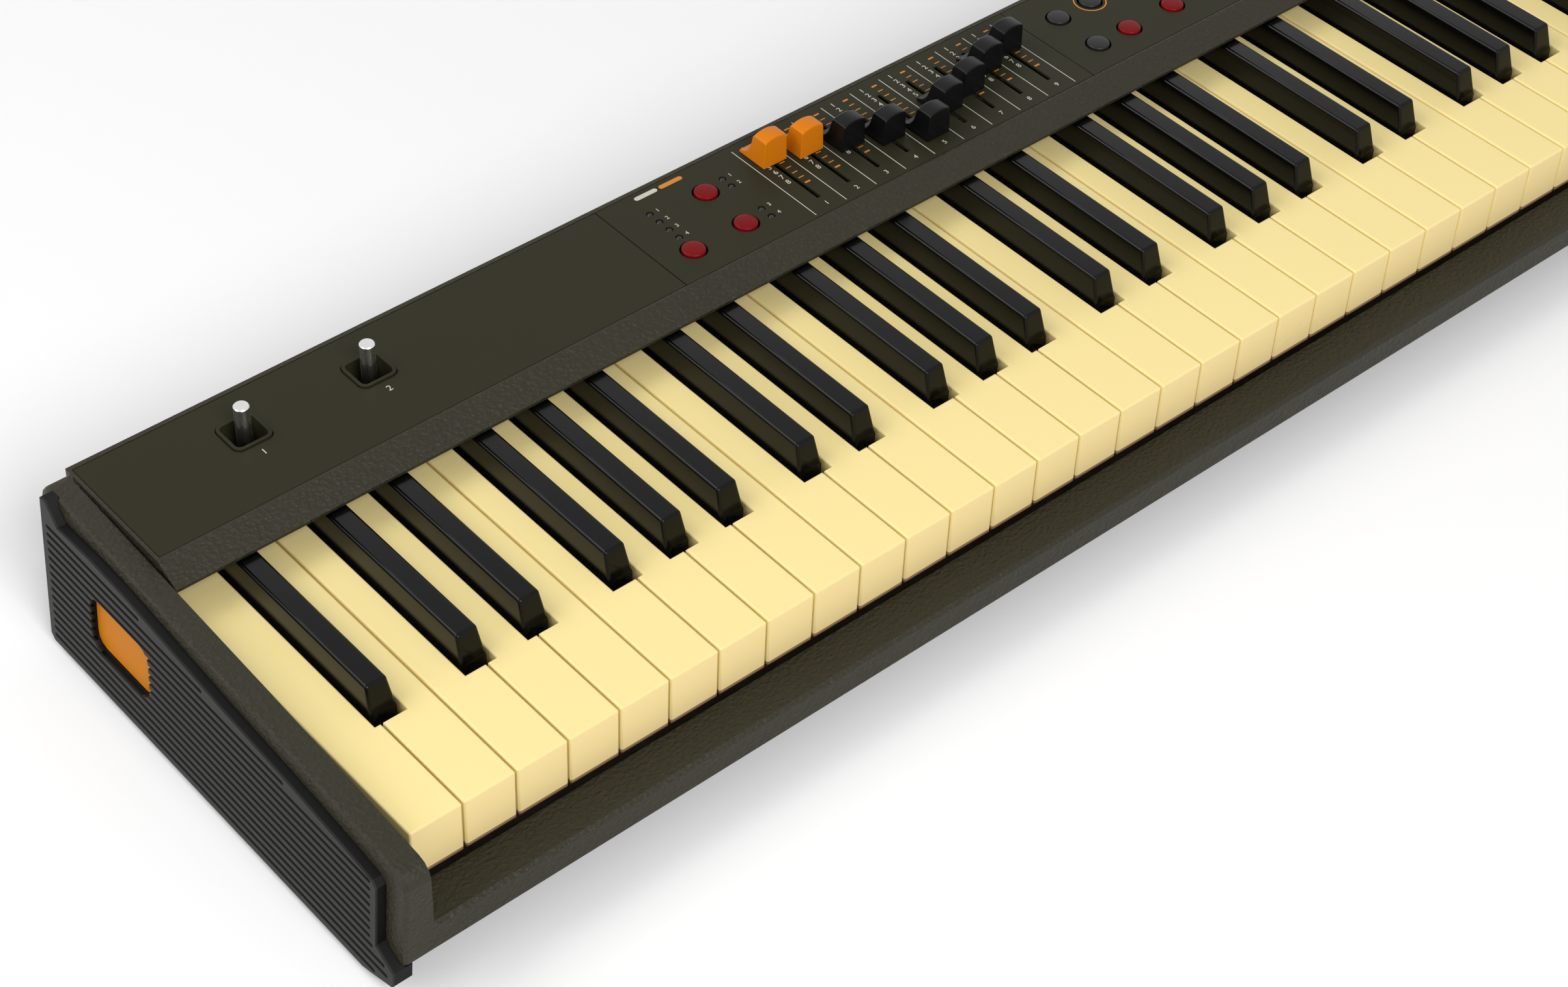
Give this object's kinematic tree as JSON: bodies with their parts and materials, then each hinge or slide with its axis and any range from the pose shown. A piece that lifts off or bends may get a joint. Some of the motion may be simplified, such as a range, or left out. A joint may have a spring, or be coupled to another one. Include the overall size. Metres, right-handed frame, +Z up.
{
  "type": "stage piano",
  "caption": "Stage piano with a full piano keyboard, organ drawbars, push buttons and two sticks in a moulded case with ribbed ends.",
  "frame": {"origin": "middle of the underside of the feet's box", "axes": "+X to the treble end, +Y to the rear, +Z up"},
  "size_m": [1.2712, 0.234, 0.089],
  "materials": {
    "case": "grained dark olive moulding",
    "panel": "satin olive plate",
    "grille": "satin dark grey",
    "insert": "satin orange",
    "sheet": "matt dark paint",
    "white_key": "satin cream",
    "black_key": "satin black",
    "felt": "felt",
    "board": "varnished board",
    "steel": "plain",
    "stick": "turned top",
    "cap_orange": "satin orange",
    "cap_black": "satin black",
    "button_red": "satin dark red",
    "button_black": "satin black",
    "lens": "clear dark",
    "socket": "matt black",
    "rubber": "matt"
  },
  "bodies": {
    "root": {"case_frame": "case", "left_grille": "grille", "right_grille": "grille", "left_insert": "insert", "right_insert": "insert", "bottom_pan": "sheet", "rear_panel": "sheet", "panel_housing": "case", "left_plate": "panel", "organ_plate": "panel", "main_plate": "panel", "key_chassis": "steel", "key_felts": "felt", "contact_board": "board", "main_board": "board", "panel_board": "board", "drawbar_slides": "steel", "stick_wells": "panel", "lamp_guide": "lens", "display_window": "lens", "jack_sockets": "socket", "data_sockets": "socket", "power_inlet": "socket", "front_left_foot": "rubber", "front_right_foot": "rubber", "rear_left_foot": "rubber", "rear_right_foot": "rubber"},
    "white_keys_1_first": {"white_keys_1_first": "white_key"},
    "white_keys_1_second": {"white_keys_1_second": "white_key"},
    "black_keys_1": {"black_keys_1": "black_key"},
    "white_keys_2_first": {"white_keys_2_first": "white_key"},
    "white_keys_2_second": {"white_keys_2_second": "white_key"},
    "black_keys_2": {"black_keys_2": "black_key"},
    "white_keys_3_first": {"white_keys_3_first": "white_key"},
    "white_keys_3_second": {"white_keys_3_second": "white_key"},
    "black_keys_3": {"black_keys_3": "black_key"},
    "drawbar_1": {"drawbar_1": "cap_orange"},
    "drawbar_2": {"drawbar_2": "cap_orange"},
    "drawbar_3": {"drawbar_3": "cap_black"},
    "drawbar_4": {"drawbar_4": "cap_black"},
    "drawbar_5": {"drawbar_5": "cap_black"},
    "drawbar_6": {"drawbar_6": "cap_black"},
    "drawbar_7": {"drawbar_7": "cap_black"},
    "drawbar_8": {"drawbar_8": "cap_black"},
    "drawbar_9": {"drawbar_9": "cap_black"},
    "stick_1_gimbal": {"stick_1_gimbal": "steel"},
    "stick_1": {"stick_1": "stick"},
    "stick_2_gimbal": {"stick_2_gimbal": "steel"},
    "stick_2": {"stick_2": "stick"},
    "select_button": {"select_button": "button_red"},
    "percussion_button": {"percussion_button": "button_red"},
    "decay_button": {"decay_button": "button_red"},
    "layer_button": {"layer_button": "button_black"},
    "edit_button": {"edit_button": "button_black"},
    "sound_button": {"sound_button": "button_red"},
    "store_button": {"store_button": "button_black"},
    "lower_button": {"lower_button": "button_red"},
    "value_knob": {"value_knob": "cap_black"},
    "volume_knob": {"volume_knob": "cap_black"},
    "power_switch": {"power_switch": "socket"}
  },
  "joints": [
    {"name": "white_keys_1_first_press", "type": "hinge", "parent": "root", "child": "white_keys_1_first", "pos_m": [0, 0.093, 0.0429], "axis": [1, 0, 0], "range_deg": [0, 3], "stiffness_Nm_per_rad": 4, "springref_deg": -14.32},
    {"name": "white_keys_1_second_press", "type": "hinge", "parent": "root", "child": "white_keys_1_second", "pos_m": [0, 0.093, 0.0429], "axis": [1, 0, 0], "range_deg": [0, 3], "stiffness_Nm_per_rad": 4, "springref_deg": -14.32},
    {"name": "black_keys_1_press", "type": "hinge", "parent": "root", "child": "black_keys_1", "pos_m": [0, 0.093, 0.0429], "axis": [1, 0, 0], "range_deg": [0, 3], "stiffness_Nm_per_rad": 4, "springref_deg": -14.32},
    {"name": "white_keys_2_first_press", "type": "hinge", "parent": "root", "child": "white_keys_2_first", "pos_m": [0, 0.093, 0.0429], "axis": [1, 0, 0], "range_deg": [0, 3], "stiffness_Nm_per_rad": 4, "springref_deg": -14.32},
    {"name": "white_keys_2_second_press", "type": "hinge", "parent": "root", "child": "white_keys_2_second", "pos_m": [0, 0.093, 0.0429], "axis": [1, 0, 0], "range_deg": [0, 3], "stiffness_Nm_per_rad": 4, "springref_deg": -14.32},
    {"name": "black_keys_2_press", "type": "hinge", "parent": "root", "child": "black_keys_2", "pos_m": [0, 0.093, 0.0429], "axis": [1, 0, 0], "range_deg": [0, 3], "stiffness_Nm_per_rad": 4, "springref_deg": -14.32},
    {"name": "white_keys_3_first_press", "type": "hinge", "parent": "root", "child": "white_keys_3_first", "pos_m": [0, 0.093, 0.0429], "axis": [1, 0, 0], "range_deg": [0, 3], "stiffness_Nm_per_rad": 4, "springref_deg": -14.32},
    {"name": "white_keys_3_second_press", "type": "hinge", "parent": "root", "child": "white_keys_3_second", "pos_m": [0, 0.093, 0.0429], "axis": [1, 0, 0], "range_deg": [0, 3], "stiffness_Nm_per_rad": 4, "springref_deg": -14.32},
    {"name": "black_keys_3_press", "type": "hinge", "parent": "root", "child": "black_keys_3", "pos_m": [0, 0.093, 0.0429], "axis": [1, 0, 0], "range_deg": [0, 3], "stiffness_Nm_per_rad": 4, "springref_deg": -14.32},
    {"name": "drawbar_1_slide", "type": "slide", "parent": "root", "child": "drawbar_1", "axis": [0, 1, 0], "range_m": [-0.03, 0.003]},
    {"name": "drawbar_2_slide", "type": "slide", "parent": "root", "child": "drawbar_2", "axis": [0, 1, 0], "range_m": [-0.0257, 0.0073]},
    {"name": "drawbar_3_slide", "type": "slide", "parent": "root", "child": "drawbar_3", "axis": [0, 1, 0], "range_m": [-0.0178, 0.0152]},
    {"name": "drawbar_4_slide", "type": "slide", "parent": "root", "child": "drawbar_4", "axis": [0, 1, 0], "range_m": [-0.0104, 0.0226]},
    {"name": "drawbar_5_slide", "type": "slide", "parent": "root", "child": "drawbar_5", "axis": [0, 1, 0], "range_m": [-0.0008, 0.0322]},
    {"name": "drawbar_6_slide", "type": "slide", "parent": "root", "child": "drawbar_6", "axis": [0, 1, 0], "range_m": [-0.0102, 0.0228]},
    {"name": "drawbar_7_slide", "type": "slide", "parent": "root", "child": "drawbar_7", "axis": [0, 1, 0], "range_m": [-0.0144, 0.0186]},
    {"name": "drawbar_8_slide", "type": "slide", "parent": "root", "child": "drawbar_8", "axis": [0, 1, 0], "range_m": [-0.021, 0.012]},
    {"name": "drawbar_9_slide", "type": "slide", "parent": "root", "child": "drawbar_9", "axis": [0, 1, 0], "range_m": [-0.026, 0.007]},
    {"name": "stick_1_gimbal_tilt", "type": "hinge", "parent": "root", "child": "stick_1_gimbal", "pos_m": [-0.5508, 0.092, 0.0597], "axis": [0, 1, 0], "range_deg": [-12, 12], "stiffness_Nm_per_rad": 0.05},
    {"name": "stick_1_tilt", "type": "hinge", "parent": "stick_1_gimbal", "child": "stick_1", "pos_m": [-0.5508, 0.092, 0.0597], "axis": [1, 0, 0], "range_deg": [-12, 12], "stiffness_Nm_per_rad": 0.05},
    {"name": "stick_2_gimbal_tilt", "type": "hinge", "parent": "root", "child": "stick_2_gimbal", "pos_m": [-0.4924, 0.092, 0.0597], "axis": [0, 1, 0], "range_deg": [-12, 12], "stiffness_Nm_per_rad": 0.05},
    {"name": "stick_2_tilt", "type": "hinge", "parent": "stick_2_gimbal", "child": "stick_2", "pos_m": [-0.4924, 0.092, 0.0597], "axis": [1, 0, 0], "range_deg": [-12, 12], "stiffness_Nm_per_rad": 0.05},
    {"name": "select_button_press", "type": "slide", "parent": "root", "child": "select_button", "axis": [0, 0, -1], "range_m": [0, 0.001], "stiffness_N_per_m": 200, "springref_m": -0.002},
    {"name": "percussion_button_press", "type": "slide", "parent": "root", "child": "percussion_button", "axis": [0, 0, -1], "range_m": [0, 0.001], "stiffness_N_per_m": 200, "springref_m": -0.002},
    {"name": "decay_button_press", "type": "slide", "parent": "root", "child": "decay_button", "axis": [0, 0, -1], "range_m": [0, 0.001], "stiffness_N_per_m": 200, "springref_m": -0.002},
    {"name": "layer_button_press", "type": "slide", "parent": "root", "child": "layer_button", "axis": [0, 0, -1], "range_m": [0, 0.001], "stiffness_N_per_m": 200, "springref_m": -0.002},
    {"name": "edit_button_press", "type": "slide", "parent": "root", "child": "edit_button", "axis": [0, 0, -1], "range_m": [0, 0.001], "stiffness_N_per_m": 200, "springref_m": -0.002},
    {"name": "sound_button_press", "type": "slide", "parent": "root", "child": "sound_button", "axis": [0, 0, -1], "range_m": [0, 0.001], "stiffness_N_per_m": 200, "springref_m": -0.002},
    {"name": "store_button_press", "type": "slide", "parent": "root", "child": "store_button", "axis": [0, 0, -1], "range_m": [0, 0.001], "stiffness_N_per_m": 200, "springref_m": -0.002},
    {"name": "lower_button_press", "type": "slide", "parent": "root", "child": "lower_button", "axis": [0, 0, -1], "range_m": [0, 0.001], "stiffness_N_per_m": 200, "springref_m": -0.002},
    {"name": "value_knob_turn", "type": "hinge", "parent": "root", "child": "value_knob", "pos_m": [0.131, 0.0845, 0.0745], "axis": [0, 0, 1], "continuous": true},
    {"name": "volume_knob_turn", "type": "hinge", "parent": "root", "child": "volume_knob", "pos_m": [0.579, 0.0845, 0.0745], "axis": [0, 0, 1], "range_deg": [-150, 150]},
    {"name": "power_switch_press", "type": "slide", "parent": "root", "child": "power_switch", "axis": [0, -1, 0], "range_m": [0, 0.0015], "stiffness_N_per_m": 300, "springref_m": -0.002}
  ]
}
